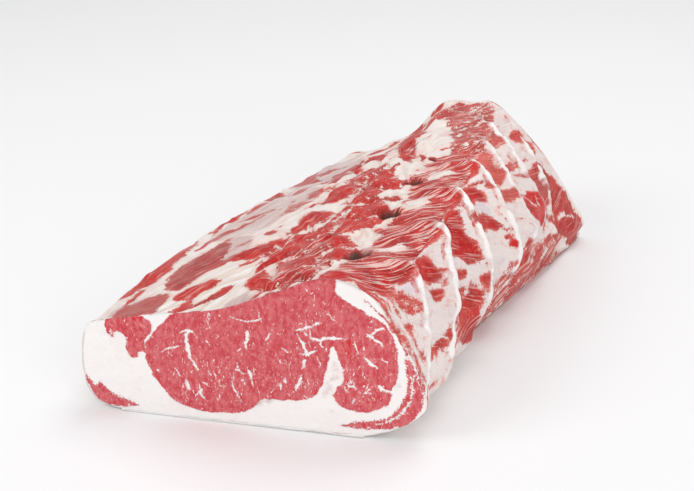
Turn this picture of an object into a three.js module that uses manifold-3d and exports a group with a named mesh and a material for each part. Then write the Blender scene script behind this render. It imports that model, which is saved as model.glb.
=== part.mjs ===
// Boned beef rib roast: one piece of raw meat, lying on its flat fat cap with the boned side up.
// Millimetres, +Z up. The near cut face looks along -Y and the roast runs back along +Y. The thin
// fat edge is at -X, and the side that the ribs were cut from is at +X. The origin is the middle
// of the box round the roast, at the level of the face that it rests on.

import * as THREE from "three";
import { mergeVertices } from "three/addons/utils/BufferGeometryUtils.js";
import Module from "manifold-3d";

// Driving sizes. A list gives a size at five places, evenly spaced from the near cut to the far cut.
const LENGTH = 374; // from cut to cut, along the middle of the roast
const NEAR_CUT_SLANT = 0.14; // the near cut leans back towards +X by this much per millimetre
const LEFT_EDGE_X = [-100, -100, -91, -72, -53]; // corner of the fat edge
const SHOULDER_X = [90, 94, 88, 80, 73]; // corner where the rib side turns down
const SHOULDER_Z = [100, 108, 108, 107, 109];
const RIB_SIDE_X = [118, 123, 136, 146, 152]; // widest place of the rib side
const LEFT_CORNER_Z = [59, 59, 57, 55, 55];
const LEFT_BULGE = 5; // how far the fat edge swells past its corner
const FAR_CORNER_RADIUS = 34; // rounding of the far left corner, seen from above
const FAR_CORNER_LENGTH = 30; // how much of the length that rounding takes
const CORNER_REACH = 0.45; // share of the way across the upper face that the rounding reaches

// The upper face rises from the left corner to the shoulder: share of the way across, and heights.
const UPPER_FACE = [
  { across: 0.1, z: [67, 67, 66, 64, 61] },
  { across: 0.25, z: [73, 77, 76, 73, 69] },
  { across: 0.45, z: [80, 86, 87, 82, 82] },
  { across: 0.62, z: [93, 96, 97, 97, 107] },
  { across: 0.82, z: [109, 101, 101, 103, 110] },
];

// The rib side falls from the shoulder to the lip: share of the way out, heights, rib bed share.
const RIB_SIDE = [
  { out: 0.5, z: [85, 88, 86, 80, 72], bed: 1 },
  { out: 0.84, z: [68, 68, 64, 52, 35], bed: 1 },
  { out: 1, z: [44, 40, 34, 26, 15], bed: 0.6 },
  { out: 0.96, z: [20, 17, 14, 10, 6], bed: 0.15 },
];
const SHOULDER_BED = 0.75; // how far the rib beds reach over the shoulder
const TOE_INSET = [40, 32, 26, 17, 10]; // from the rib side in to the line where it lifts off the table
const HEEL_INSET = 26; // the same at the fat edge

// Rib beds: the hollows that the seven ribs were cut from, and the thin ridges between them. The
// list says where the ridges meet the shoulder. They lean towards the near cut on their way down.
const RIDGES = [-14, 50, 108, 176, 240, 290, 334, 376, 418, 460];
const RIDGE_LEAN = 0.75;
const BED_DEPTH = 6;

// Pits in the seam where the rib heads came away.
const PITS = [
  { x: 56, along: 50 },
  { x: 54, along: 131 },
  { x: 52, along: 193 },
  { x: 51, along: 250 },
];
const PIT_RADII = [8, 5.5, 13]; // across, along the roast, down

const RING_POINTS = 68;
const SECTION_COUNT = 48;

/** A size at share v of the length, on a smooth curve through its listed values. */
function along(v, values) {
  const last = values.length - 1;
  const at = Math.min(Math.floor(v * last), last - 1);
  const f = v * last - at;
  const [a, b, c, d] = [-1, 0, 1, 2].map((k) => values[Math.min(Math.max(at + k, 0), last)]);
  return 0.5 * (2 * b + (c - a) * f + (2 * a - 5 * b + 4 * c - d) * f * f + (3 * b - a - 3 * c + d) * f ** 3);
}

/** How far the left edge has turned in towards the far cut, as a quarter circle seen from above. */
function farCornerInset(v) {
  const into = Math.max(0, 1 - ((1 - v) * LENGTH) / FAR_CORNER_LENGTH);
  return FAR_CORNER_RADIUS * (1 - Math.sqrt(1 - Math.min(into, 1) ** 2));
}

/** The section's landmarks at share v of the length, anticlockwise from the middle of the base: x, z, rib bed share. */
function landmarks(v) {
  const edge = along(v, LEFT_EDGE_X);
  const inset = farCornerInset(v);
  const left = edge + inset;
  const shoulder = along(v, SHOULDER_X);
  const side = along(v, RIB_SIDE_X);
  const toe = side - along(v, TOE_INSET);
  const heel = left + HEEL_INSET;
  const corner = along(v, LEFT_CORNER_Z);
  const point = (x, z, bed = 0) => new THREE.Vector3(x, z, bed);
  return [
    point((heel + toe) / 2, 0),
    point(toe, 0),
    ...RIB_SIDE.toReversed().map(({ out, z, bed }) => point(shoulder + out * (side - shoulder), along(v, z), bed)),
    point(shoulder, along(v, SHOULDER_Z), SHOULDER_BED),
    ...UPPER_FACE.toReversed().map(({ across, z }) =>
      point(edge + across * (shoulder - edge) + inset * Math.max(0, 1 - across / CORNER_REACH), along(v, z)),
    ),
    point(left, corner),
    point(left - LEFT_BULGE, corner / 2),
    point(left + 1, 7),
    point(heel, 0),
  ];
}

/** How deep the bed is at y: 0 on a ridge, 1 in the middle between two ridges. */
function bedShape(y) {
  const next = RIDGES.findIndex((ridge) => ridge > y);
  const f = (y - RIDGES[next - 1]) / (RIDGES[next] - RIDGES[next - 1]);
  return 4 * f * (1 - f);
}

/** One section of the roast as a ring of points in space. */
function section(v) {
  const curve = new THREE.CatmullRomCurve3(landmarks(v), true, "catmullrom", 0.5);
  const slant = NEAR_CUT_SLANT * (1 - v);
  const y = v * LENGTH;
  const shoulder = along(v, SHOULDER_Z);
  const fade = Math.min(1, 12 * v, 12 * (1 - v));
  return Array.from({ length: RING_POINTS }, (_, i) => {
    const p = curve.getPoint(i / RING_POINTS);
    const t = curve.getTangent(i / RING_POINTS);
    const across = Math.hypot(t.x, t.y) || 1;
    const bed = bedShape(y + RIDGE_LEAN * Math.max(0, shoulder - p.y));
    const dent = BED_DEPTH * fade * bed * Math.max(p.z, 0);
    const x = p.x - (dent * t.y) / across;
    const z = Math.max(0, p.y + (dent * t.x) / across);
    return new THREE.Vector3(x, y + slant * x, z);
  });
}

/** A closed mesh through the sections, with a flat cut at each end. */
function loft(rings) {
  const n = RING_POINTS;
  const positions = rings.flat().flatMap((p) => [p.x, p.y, p.z]);
  const faces = [];
  for (let j = 0; j + 1 < rings.length; j++) {
    for (let i = 0; i < n; i++) {
      const [a, b] = [j * n + i, j * n + ((i + 1) % n)];
      faces.push(a, a + n, b, b, a + n, b + n);
    }
  }
  const cut = (ring) => THREE.ShapeUtils.triangulateShape(ring.map((p) => new THREE.Vector2(p.x, p.z)), []);
  const far = (rings.length - 1) * n;
  for (const [a, b, c] of cut(rings[0])) faces.push(a, b, c);
  for (const [a, b, c] of cut(rings.at(-1))) faces.push(far + a, far + c, far + b);
  const geometry = new THREE.BufferGeometry();
  geometry.setAttribute("position", new THREE.Float32BufferAttribute(positions, 3));
  geometry.setIndex(faces);
  return geometry;
}

/** A geometry as a manifold-3d solid. */
function solidOf(wasm, geometry) {
  const bare = geometry.clone();
  bare.deleteAttribute("normal");
  bare.deleteAttribute("uv");
  const merged = mergeVertices(bare, 1e-4);
  return new wasm.Manifold(
    new wasm.Mesh({
      numProp: 3,
      vertProperties: merged.attributes.position.array,
      triVerts: new Uint32Array(merged.index.array),
    }),
  );
}

/** A manifold-3d solid as a geometry. */
function geometryOf(solid) {
  const mesh = solid.getMesh();
  const geometry = new THREE.BufferGeometry();
  geometry.setAttribute("position", new THREE.Float32BufferAttribute(mesh.vertProperties, 3));
  geometry.setIndex([...mesh.triVerts]);
  return geometry;
}

/** A pit: half an egg below the upper face. */
function pit(place) {
  const v = place.along / LENGTH;
  const surface = along(v, UPPER_FACE.at(-1).z);
  return new THREE.SphereGeometry(1, 12, 8)
    .scale(...PIT_RADII)
    .translate(place.x, place.along + NEAR_CUT_SLANT * (1 - v) * place.x, surface + 1);
}

const wasm = await Module();
wasm.setup();

const rings = Array.from({ length: SECTION_COUNT }, (_, j) => section(j / (SECTION_COUNT - 1)));
let meat = solidOf(wasm, loft(rings));
for (const place of PITS) meat = meat.subtract(solidOf(wasm, pit(place)));

const roast = new THREE.Mesh(
  geometryOf(meat),
  new THREE.MeshStandardMaterial({ color: 0xc9505a, roughness: 0.45, metalness: 0 }),
);
roast.name = "roast";

const box = new THREE.Box3().setFromBufferAttribute(roast.geometry.getAttribute("position"));
const middle = box.getCenter(new THREE.Vector3());
roast.position.set(-middle.x, -middle.y, -box.min.z);

const part = new THREE.Group();
part.add(roast);

export default part;
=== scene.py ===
"""Looks of a boned beef rib roast: one piece of raw meat, lying on its flat fat cap.

Lengths in the form and in the tissue maps are millimetres, as a butcher would measure them, and
become metres when the mesh is placed. A place on the cut face is (x, z) from the middle of the
face's lower edge. A place on the outside is (a, l): a runs round the roast from the shoulder line,
negative over the upper face towards the thin fat edge and positive down the rib side, and l runs
back from the near cut.
"""

import logging
import math
from abc import ABC, abstractmethod
from collections.abc import Callable
from dataclasses import dataclass, field
from enum import Enum

import bpy
import numpy as np
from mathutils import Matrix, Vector

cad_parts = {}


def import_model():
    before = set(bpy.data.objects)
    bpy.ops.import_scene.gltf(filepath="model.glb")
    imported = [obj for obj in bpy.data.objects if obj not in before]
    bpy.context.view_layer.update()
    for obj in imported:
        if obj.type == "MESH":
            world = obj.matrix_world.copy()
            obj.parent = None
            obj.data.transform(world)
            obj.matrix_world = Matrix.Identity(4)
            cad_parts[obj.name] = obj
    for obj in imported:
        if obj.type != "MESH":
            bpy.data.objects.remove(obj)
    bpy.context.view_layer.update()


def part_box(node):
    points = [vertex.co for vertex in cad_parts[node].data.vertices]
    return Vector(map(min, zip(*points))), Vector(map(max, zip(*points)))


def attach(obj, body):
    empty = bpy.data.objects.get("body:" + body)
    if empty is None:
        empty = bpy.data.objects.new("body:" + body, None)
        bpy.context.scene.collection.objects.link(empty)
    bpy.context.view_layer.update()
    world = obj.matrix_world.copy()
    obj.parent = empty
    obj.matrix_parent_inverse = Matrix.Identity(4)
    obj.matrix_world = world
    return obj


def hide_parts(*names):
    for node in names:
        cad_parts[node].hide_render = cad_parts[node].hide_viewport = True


log = logging.getLogger("roast")
MM = 0.001
SEED = 11
TINY = 1e-5
PLAIN_FAT = -12.0  # distance inside the lean where there is none near
FAR_OUT = -20.0  # distance inside a patch or a stroke of places that aren't near it


# ---------------------------------------------------------------- numbers and fields


class Grain:
    """Smooth seeded noise on a lattice, for the relief of the meat."""

    SIZE = 32

    def __init__(self, seed: int) -> None:
        """Fills the lattice.

        Args:
            seed: picks the lattice.
        """
        rng = np.random.default_rng(seed)
        self.table = rng.uniform(-1.0, 1.0, (self.SIZE,) * 3)

    def at(self, points: np.ndarray) -> np.ndarray:
        """Noise at points.

        Args:
            points: (n, 3) places, in lattice cells.

        Returns:
            (n,) values from -1 to 1.
        """
        cell = np.floor(points).astype(int)
        f = points - cell
        f = f * f * (3 - 2 * f)
        total = np.zeros(len(points))
        for dx in (0, 1):
            for dy in (0, 1):
                for dz in (0, 1):
                    weight = (
                        np.where(dx, f[:, 0], 1 - f[:, 0])
                        * np.where(dy, f[:, 1], 1 - f[:, 1])
                        * np.where(dz, f[:, 2], 1 - f[:, 2])
                    )
                    i, j, k = ((cell + (dx, dy, dz)) % self.SIZE).T
                    total += weight * self.table[i, j, k]
        return total


def ramp(low: float, high: float, x: np.ndarray) -> np.ndarray:
    """A smooth step.

    Args:
        low: where it starts from 0.
        high: where it reaches 1.
        x: values.

    Returns:
        0 to 1 for each value.
    """
    t = np.clip((x - low) / (high - low), 0, 1)
    return t * t * (3 - 2 * t)


def spline(a: np.ndarray, b: np.ndarray, c: np.ndarray, d: np.ndarray, f: np.ndarray) -> np.ndarray:
    """A smooth curve through four values in a row.

    Args:
        a: the first value.
        b: the second, where the stretch starts.
        c: the third, where it ends.
        d: the fourth.
        f: how far along the stretch, 0 to 1.

    Returns:
        The value there.
    """
    square = (2 * a - 5 * b + 4 * c - d) * f**2
    return 0.5 * (2 * b + (c - a) * f + square + (3 * b - a - 3 * c + d) * f**3)


def lifted(p: np.ndarray) -> np.ndarray:
    """Places on a map, with a third part of 0."""
    return np.stack([p[:, 0], p[:, 1], p[:, 0] * 0], 1)


def rounded(outline: np.ndarray, closed: bool, times: int = 2) -> np.ndarray:
    """Cuts the corners of a line.

    Args:
        outline: (n, 2) points.
        closed: True if it is a loop.
        times: how often the corners are cut.

    Returns:
        The points of the smoother line.
    """
    pts = np.asarray(outline, float)
    for _ in range(times):
        nxt = np.roll(pts, -1, axis=0) if closed else pts[1:]
        cur = pts if closed else pts[:-1]
        cut = np.stack([0.75 * cur + 0.25 * nxt, 0.25 * cur + 0.75 * nxt], axis=1).reshape(-1, 2)
        pts = cut if closed else np.vstack([pts[:1], cut, pts[-1:]])
    return pts


def to_segments(p: np.ndarray, pts: np.ndarray) -> tuple[np.ndarray, np.ndarray]:
    """Distance from points to a chain of segments.

    Args:
        p: (n, 2) points.
        pts: (m, 2) ends of the segments, in order.

    Returns:
        The distance, and how far along the chain the nearest point is, 0 to 1.
    """
    best = np.full(len(p), np.inf)
    where = np.zeros(len(p))
    steps = len(pts) - 1
    for i in range(steps):
        a, b = pts[i], pts[i + 1]
        d = b - a
        t = np.clip(((p - a) @ d) / max(float(d @ d), 1e-9), 0, 1)
        gap = np.hypot(*(p - a - t[:, None] * d).T)
        nearer = gap < best
        best = np.where(nearer, gap, best)
        where = np.where(nearer, (i + t) / steps, where)
    return best, where


def inside_of(p: np.ndarray, pts: np.ndarray) -> np.ndarray:
    """Which points are inside a closed line.

    Args:
        p: (n, 2) points.
        pts: (m, 2) corners.

    Returns:
        (n,) booleans.
    """
    inside = np.zeros(len(p), bool)
    for a, b in zip(pts, np.roll(pts, -1, axis=0)):
        crosses = (a[1] > p[:, 1]) != (b[1] > p[:, 1])
        rise = b[1] - a[1]
        at = a[0] + (p[:, 1] - a[1]) * (b[0] - a[0]) / (rise if abs(rise) > 1e-9 else 1e-9)
        inside ^= crosses & (p[:, 0] < at)
    return inside


# ---------------------------------------------------------------- the form


@dataclass
class Form:
    """The roast's outer form, with the same driving sizes as the solid that it dresses.

    A list gives a size at five places, evenly spaced from the near cut to the far cut.
    """

    length: float = 374.0
    near_cut_slant: float = 0.14
    left_edge_x: tuple = (-100, -100, -91, -72, -53)
    shoulder_x: tuple = (90, 94, 88, 80, 73)
    shoulder_z: tuple = (100, 108, 108, 107, 109)
    rib_side_x: tuple = (118, 123, 136, 146, 152)
    left_corner_z: tuple = (59, 59, 57, 55, 55)
    left_bulge: float = 5.0
    far_corner_radius: float = 34.0
    far_corner_length: float = 30.0
    corner_reach: float = 0.45
    upper_face: tuple = (
        (0.1, (67, 67, 66, 64, 61)),
        (0.25, (73, 77, 76, 73, 69)),
        (0.45, (80, 86, 87, 82, 82)),
        (0.62, (93, 96, 97, 97, 107)),
        (0.82, (109, 101, 101, 103, 110)),
    )
    rib_side: tuple = (
        (0.5, (85, 88, 86, 80, 72)),
        (0.84, (68, 68, 64, 52, 35)),
        (1.0, (44, 40, 34, 26, 15)),
        (0.96, (20, 17, 14, 10, 6)),
    )
    toe_inset: tuple = (40, 32, 26, 17, 10)
    heel_inset: float = 26.0
    ridges: tuple = (-14, 50, 108, 176, 240, 290, 334, 376, 418, 460, 500)
    ridge_lean: float = 0.75
    bed_flatness: float = 2.4
    samples: int = 129
    runs: tuple = ((15, 17), (1, 6), (6, 12), (12, 15))  # base, rib side, upper face and fat edge

    def along(self, v: float, values: tuple) -> float:
        """A size at v, from its five values.

        Args:
            v: 0 at the near cut, 1 at the far cut.
            values: the size at the five places.

        Returns:
            The size there.
        """
        last = len(values) - 1
        at = min(int(v * last), last - 1)
        f = v * last - at
        return spline(*(values[min(max(at + k, 0), last)] for k in (-1, 0, 1, 2)), f)

    def landmarks(self, v: float) -> np.ndarray:
        """The section's landmarks at v, from the middle of the base, anticlockwise.

        Args:
            v: 0 at the near cut, 1 at the far cut.

        Returns:
            (16, 2) places (x, z).
        """
        edge = self.along(v, self.left_edge_x)
        into = min(max(0.0, 1 - (1 - v) * self.length / self.far_corner_length), 1.0)
        inset = self.far_corner_radius * (1 - math.sqrt(1 - into**2))
        left, shoulder = edge + inset, self.along(v, self.shoulder_x)
        side = self.along(v, self.rib_side_x)
        toe, heel = side - self.along(v, self.toe_inset), left + self.heel_inset
        corner = self.along(v, self.left_corner_z)
        marks = [((heel + toe) / 2, 0), (toe, 0)]
        for out, z in reversed(self.rib_side):
            marks.append((shoulder + out * (side - shoulder), self.along(v, z)))
        marks.append((shoulder, self.along(v, self.shoulder_z)))
        for across, z in reversed(self.upper_face):
            x = edge + across * (shoulder - edge) + inset * max(0.0, 1 - across / self.corner_reach)
            marks.append((x, self.along(v, z)))
        marks += [(left, corner), (left - self.left_bulge, corner / 2), (left + 1, 7), (heel, 0)]
        return np.array(marks, float)

    def sides(self, v: float) -> tuple[np.ndarray, np.ndarray]:
        """The four sides of the section at v, each evenly divided.

        Args:
            v: 0 at the near cut, 1 at the far cut.

        Returns:
            (4, samples, 2) places of the base, rib side, upper face and fat edge, and the four
            lengths. The base and upper face run towards the ribs, the other two run upwards.
        """
        marks = self.landmarks(v)
        sides, lengths = [], []
        for start, end in self.runs:
            u = np.linspace(start, end, 40 * (end - start) + 1)
            i = np.floor(u).astype(int)
            f = (u - i)[:, None]
            line = spline(*(marks[(i + k) % len(marks)] for k in (-1, 0, 1, 2)), f)
            line[:, 1] = np.maximum(line[:, 1], 0)
            run = np.concatenate([[0], np.hypot(*np.diff(line, axis=0).T).cumsum()])
            even = np.linspace(0, run[-1], self.samples)
            line = np.stack([np.interp(even, run, line[:, k]) for k in (0, 1)], axis=1)
            sides.append(line)
            lengths.append(run[-1])
        base, ribs, upper, fat = sides
        return np.array([base, ribs, upper[::-1], fat[::-1]]), np.array(lengths)

    def bed(self, y: np.ndarray) -> tuple[np.ndarray, np.ndarray]:
        """The hollow that each rib left, 0 on the ridges between ribs and 1 in the beds.

        Args:
            y: places along the roast, where they would meet the shoulder.

        Returns:
            The hollow there, and how far past the nearest ridge it is. That falls back to 0 in the
            middle of a bed, so that it never jumps.
        """
        ridges = np.array(self.ridges, float)
        nxt = np.clip(np.searchsorted(ridges, y, side="right"), 1, len(ridges) - 1)
        low, high = ridges[nxt - 1], ridges[nxt]
        part = np.clip((y - low) / (high - low), 0, 1)
        past = np.where(part < 0.5, 0.25 - np.abs(part - 0.25), np.abs(part - 0.75) - 0.25)
        return 1 - np.abs(2 * part - 1) ** self.bed_flatness, past * (high - low)


# ---------------------------------------------------------------- tissues


class Tissue(Enum):
    """What a patch of the surface is."""

    LEAN = "lean"
    FAT = "fat"
    VEIL = "veil"
    CREAM = "cream"
    CLEAR = "clear"
    BLUSH = "blush"


@dataclass(frozen=True)
class Patch:
    """An area of one tissue, with its outline walked round."""

    name: str
    outline: tuple
    tissue: Tissue = Tissue.LEAN
    tone: float = 0.5
    fray: float = 1.4
    cap: float = 6.0
    bulge: float = 0.0
    soft: int = 2
    sinew: float = 0.3
    margin: float = 14.0

    def signed(self, p: np.ndarray) -> np.ndarray:
        """Distance from the outline, positive inside, at most cap.

        Args:
            p: (n, 2) places.

        Returns:
            (n,) distances, FAR_OUT for places past the margin.
        """
        pts = rounded(np.array(self.outline, float), True, self.soft)
        out = np.full(len(p), FAR_OUT)
        near = np.all((p > pts.min(0) - self.margin) & (p < pts.max(0) + self.margin), axis=1)
        if near.any():
            gap, _ = to_segments(p[near], np.vstack([pts, pts[:1]]))
            out[near] = np.where(inside_of(p[near], pts), np.minimum(gap, self.cap), -gap)
        return out


@dataclass(frozen=True)
class Stroke:
    """A thin line of fat or lean, thickest in the middle."""

    line: tuple
    width: float
    tissue: Tissue = Tissue.FAT
    taper: float = 0.75
    wiggle: float = 0.9
    margin: float = 8.0

    def signed(self, p: np.ndarray) -> np.ndarray:
        """Half the width there less the distance from the line.

        Args:
            p: (n, 2) places.

        Returns:
            (n,) distances, positive on the line and FAR_OUT for places past the margin.
        """
        pts = rounded(np.array(self.line, float), False, 1)
        out = np.full(len(p), FAR_OUT)
        near = np.all((p > pts.min(0) - self.margin) & (p < pts.max(0) + self.margin), axis=1)
        if near.any():
            flat = lifted(p[near])
            stray = np.stack([Grain(SEED + k).at(flat / 3.2 + k) for k in (1, 2)], 1)
            gap, where = to_segments(p[near] + self.wiggle * stray, pts)
            rough = 0.5 + 0.5 * Grain(SEED).at(flat / 1.8)
            thick = self.width * (1 - self.taper * (2 * where - 1) ** 2) * (0.35 + 0.9 * rough)
            out[near] = thick / 2 - gap
        return out


@dataclass
class Fields:
    """What the finishes and the relief read at each vertex.

    lean is the distance inside the lean, and tone, fray and sinew tell its kind. veil, cream, clear and
    blush are shares of what lies over it, dark is the share of painted shade in the pits, and bulge
    swells it. ridge, top and past place the crests, rib tells the rib side, and thread and calm give
    the run of the fibres.
    """

    count: int
    lean: np.ndarray = field(init=False)
    tone: np.ndarray = field(init=False)
    fray: np.ndarray = field(init=False)
    veil: np.ndarray = field(init=False)
    cream: np.ndarray = field(init=False)
    clear: np.ndarray = field(init=False)
    blush: np.ndarray = field(init=False)
    dark: np.ndarray = field(init=False)
    bulge: np.ndarray = field(init=False)
    sinew: np.ndarray = field(init=False)
    ridge: np.ndarray = field(init=False)
    past: np.ndarray = field(init=False)
    calm: np.ndarray = field(init=False)
    rib: np.ndarray = field(init=False)
    top: np.ndarray = field(init=False)
    thread: np.ndarray = field(init=False)

    def __post_init__(self) -> None:
        """Starts with plain fat."""
        self.lean = np.full(self.count, PLAIN_FAT)
        for name in FIELDS[1:]:
            setattr(self, name, np.zeros(self.count))
        self.thread = np.zeros((self.count, 3))

    def lay(
        self, where: np.ndarray, p: np.ndarray, patches: tuple, strokes: tuple, stray: float, fray: float
    ) -> None:
        """Lays patches and strokes on some of the vertices.

        Args:
            where: indices of the vertices.
            p: (n, 2) their places on the map.
            patches: the patches, in any order.
            strokes: lines laid over them.
            stray: how far the outlines wander, in millimetres.
            fray: how ragged the edges are where no patch says.
        """
        lean, flat = self.lean[where], lifted(p)
        for k, (size, share) in enumerate(((4.5, 1.0), (1.7, 0.4))):
            waves = [Grain(SEED + 10 + k).at(flat / (size * stray) + 9 * j) for j in (1, 2)]
            p = p + stray * share * np.stack(waves, 1)
        weight = np.full(len(p), 0.02)
        sums = {"tone": 0.5 * weight, "fray": fray * weight, "sinew": 0.15 * weight}
        bulge = np.zeros(len(p))
        for patch in (q for q in patches if q.tissue is Tissue.LEAN):
            gap = patch.signed(p)
            lean = np.maximum(lean, gap)
            share = np.exp(np.clip(gap, -12, 4) / 1.5)
            weight += share
            for name, total in sums.items():
                total += share * getattr(patch, name)
            bulge = np.maximum(bulge, patch.bulge * ramp(-1, 7, gap))
        for patch in (q for q in patches if q.tissue is not Tissue.LEAN):
            gap = patch.signed(p)
            if patch.tissue is Tissue.FAT:
                lean = np.minimum(lean, -gap)
            else:
                laid = getattr(self, patch.tissue.value)
                laid[where] = np.maximum(laid[where], patch.tone * ramp(-3, 3, gap))
        for stroke in strokes:
            gap = stroke.signed(p)
            lean = np.minimum(lean, -gap) if stroke.tissue is Tissue.FAT else np.maximum(lean, gap)
        self.lean[where], self.bulge[where] = lean, bulge
        for name, total in sums.items():
            getattr(self, name)[where] = total / weight


FIELDS = tuple(name for name in Fields.__annotations__ if name not in ("count", "thread"))


# ---------------------------------------------------------------- the cut face, (x, z)

EYE = (
    (-61, 45), (-60, 52), (-52, 63), (-42, 74), (-32, 82), (-17, 84), (1, 88), (12, 98), (28, 102),
    (39, 107), (47, 113), (58, 117), (63, 110), (62, 98), (74, 92), (83, 86), (94, 80), (99, 67),
    (102, 50), (98, 38), (97, 30), (92, 22), (80, 18), (68, 19), (60, 26), (62, 33), (67, 39),
    (67, 47), (64, 54), (60, 66), (58, 54), (56, 44), (54, 36), (49, 26), (42, 22), (23, 20),
    (15, 21), (11, 14),
    (3, 8), (-12, 6), (-28, 6), (-44, 11), (-54, 24), (-60, 36),
)  # fmt: skip

CUT_PATCHES = (
    Patch("eye and cap muscle", EYE, fray=0.6, cap=8, soft=1),
    Patch("marbled belly", ((-38, 44), (-20, 50), (-4, 44), (14, 46), (36, 54), (52, 50), (50, 30),
                            (38, 24), (14, 24), (-2, 12), (-26, 9), (-44, 18), (-50, 34)),
          fray=0.8, cap=8, sinew=1.0),
    Patch("marbled lobe", ((66, 42), (72, 56), (90, 54), (98, 40), (90, 26), (74, 22), (66, 28)),
          fray=0.8, cap=8, sinew=0.8),
    Patch("small muscle of the edge",
          ((-87, 64), (-85, 56), (-82, 52), (-80, 58), (-76, 57), (-72, 53), (-74, 46), (-71, 41),
           (-66, 40), (-64, 46), (-60, 44), (-61, 54), (-54, 62), (-57, 70), (-70, 71), (-82, 70)),
          tone=0.74, fray=0.8, soft=1),
    Patch("corner strip",
          ((-104, 25), (-102, 18), (-98, 9), (-95, 5), (-86, 3), (-75, 3), (-66, 5), (-77, 9),
           (-85, 11), (-89, 16), (-93, 20), (-96, 17), (-99, 20)),
          tone=0.45, fray=1.6, soft=1),
    Patch("lower right strip",
          ((64, 6), (71, 10), (80, 12), (90, 14), (98, 19), (103, 27), (107, 39), (106, 50),
           (103, 60), (109, 57), (113, 44), (117, 32), (114, 20), (106, 11), (96, 8), (84, 7)),
          tone=0.7, fray=1.6, soft=1),
    Patch("bright middle", ((56, 62), (66, 69), (78, 71), (78, 60), (64, 53)),
          tissue=Tissue.BLUSH, tone=0.8),
    Patch("redder lobe", ((64, 34), (66, 66), (84, 80), (100, 62), (106, 40), (94, 20), (70, 20)),
          tissue=Tissue.BLUSH, tone=0.32),
    Patch("bright rim of the small muscle", ((-84, 71), (-70, 73), (-58, 73), (-62, 67), (-78, 66)),
          tissue=Tissue.BLUSH, tone=1.0),
    Patch("grey notch", ((8, 12), (16, 22), (24, 21), (14, 15)), tissue=Tissue.VEIL, tone=0.8),
    Patch("fat wedge", ((50, 24), (58, 42), (60, 56), (66, 46), (60, 28)),
          tissue=Tissue.VEIL, tone=0.45),
    Patch("lean fold at the front edge", ((-8, 83), (-2, 82), (8, 92), (18, 97), (12, 99), (0, 92)),
          tissue=Tissue.VEIL, tone=0.8),
    Patch("clear spots of the right edge", ((99, 56), (102, 52), (102, 34), (98, 36)),
          tissue=Tissue.VEIL),
)  # fmt: skip

SEAMS = (
    Stroke(((-31, 65), (-33, 58), (-32, 50), (-30, 41), (-26, 36)), 2.6),
    Stroke(((-38, 60), (-33, 64), (-30, 64), (-25, 59)), 1.5),
    Stroke(((-50, 47), (-44, 50), (-37, 53)), 1.3),
    Stroke(((7, 68), (6, 61), (5, 54)), 2.6),
    Stroke(((-34, 29), (-34, 25), (-32, 21)), 1.7),
    Stroke(((-26, 24), (-25, 18), (-21, 14)), 1.7),
    Stroke(((-23, 28), (-19, 24)), 1.3),
    Stroke(((0, 42), (-2, 39), (2, 38), (5, 37)), 1.3),
    Stroke(((7, 40), (8, 35), (10, 29)), 2.2),
    Stroke(((1, 34), (4, 29)), 1.3),
    Stroke(((-4, 30), (-2, 24), (1, 17)), 1.7),
    Stroke(((38, 71), (41, 72), (47, 75), (54, 79)), 1.4),
    Stroke(((42, 71), (47, 67), (54, 67), (62, 69), (69, 69)), 1.8),
    Stroke(((39, 68), (41, 63), (44, 56)), 2.8),
    Stroke(((40, 55), (46, 56), (51, 59)), 2.6),
    Stroke(((42, 52), (41, 44)), 1.6),
    Stroke(((51, 55), (53, 48)), 1.0),
    Stroke(((41, 40), (38, 35), (36, 28)), 2.2),
    Stroke(((30, 38), (31, 33)), 1.3),
    Stroke(((27, 34), (28, 28)), 1.3),
    Stroke(((81, 72), (86, 75), (91, 78)), 1.6),
    Stroke(((82, 74), (86, 69), (91, 66)), 2.2),
    Stroke(((74, 68), (75, 64), (77, 59)), 1.2),
    Stroke(((79, 56), (84, 53), (88, 50)), 1.8),
    Stroke(((78, 47), (83, 41)), 1.3),
    Stroke(((67, 38), (72, 36), (75, 34)), 1.5),
    Stroke(((88, 38), (94, 35), (100, 36)), 2.4, taper=0.1),
    Stroke(((21, 68), (19, 61)), 1.2),
    Stroke(((-3, 76), (6, 73), (17, 77)), 1.2),
    Stroke(((14, 84), (16, 76)), 0.9),
    Stroke(((-57, 59), (-55, 56)), 1.0),
    Stroke(((-54, 33), (-50, 32)), 1.4),
    Stroke(((-41, 35), (-38, 31)), 1.2),
    Stroke(((-20, 58), (-18, 54)), 0.9),
    Stroke(((28, 58), (34, 55)), 1.1),
    Stroke(((58, 84), (62, 80)), 1.0),
    Stroke(((86, 84), (82, 81)), 1.0),
    Stroke(((90, 58), (94, 55)), 1.0),
    Stroke(((84, 34), (80, 31)), 1.2),
    Stroke(((74, 28), (72, 24)), 1.2),
    Stroke(((80, 96), (89, 88), (96, 79), (102, 69), (107, 58)), 1.6, Tissue.LEAN, 0.4, 0.3),
    Stroke(((112, 56), (114, 46), (116, 38)), 2.4, Tissue.LEAN, 0.3, 0.3),
    Stroke(((88, 11), (98, 15), (106, 24), (110, 36), (110, 48)), 1.6, taper=0.4),
)  # fmt: skip


# ---------------------------------------------------------------- the outside, (a, l)

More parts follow.
